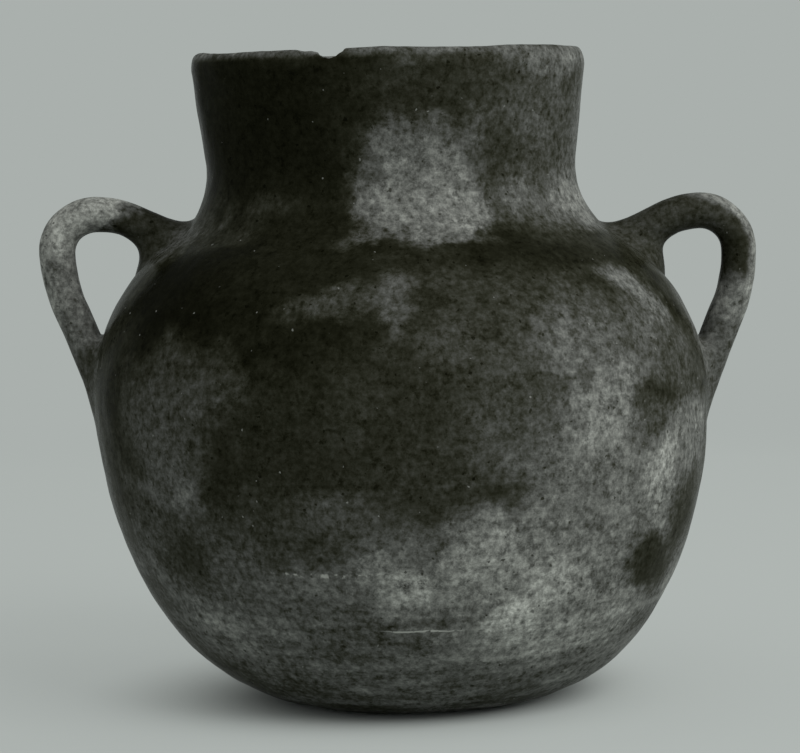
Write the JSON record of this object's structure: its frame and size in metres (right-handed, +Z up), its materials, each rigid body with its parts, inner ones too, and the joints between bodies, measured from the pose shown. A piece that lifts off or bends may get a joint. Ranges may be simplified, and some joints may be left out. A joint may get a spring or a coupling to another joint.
{
  "type": "handled jar",
  "caption": "Round-bodied hand-built clay jar with a wide, slightly flared neck and loop handles on its shoulders, for carrying and keeping water.",
  "frame": {"origin": "middle of the flat standing face under the base, on the jar's axis", "axes": "+Z up the jar's axis to the mouth, X through the handles with the right one at +X, the pictured front faces -Y"},
  "size_m": [0.407, 0.349, 0.367],
  "materials": {
    "body_clay": "burnished by hand, fire-clouded from dark grey to buff grey",
    "handle_clay": "smoothed by hand, fire-clouded, worn pale on the outside of the loops"
  },
  "bodies": {
    "root": {"base_bowl": "body_clay", "lower_belly_ring": "body_clay", "middle_belly_ring": "body_clay", "upper_belly_ring": "body_clay", "lower_shoulder_ring": "body_clay", "upper_shoulder_ring": "body_clay", "lower_neck_ring": "body_clay", "upper_neck_ring": "body_clay", "rim_ring": "body_clay", "left_tenon_pad": "body_clay", "right_tenon_pad": "body_clay", "left_handle": "handle_clay", "right_handle": "handle_clay", "left_shoulder_collar": "handle_clay", "right_shoulder_collar": "handle_clay", "left_belly_collar": "handle_clay", "right_belly_collar": "handle_clay"}
  },
  "joints": []
}
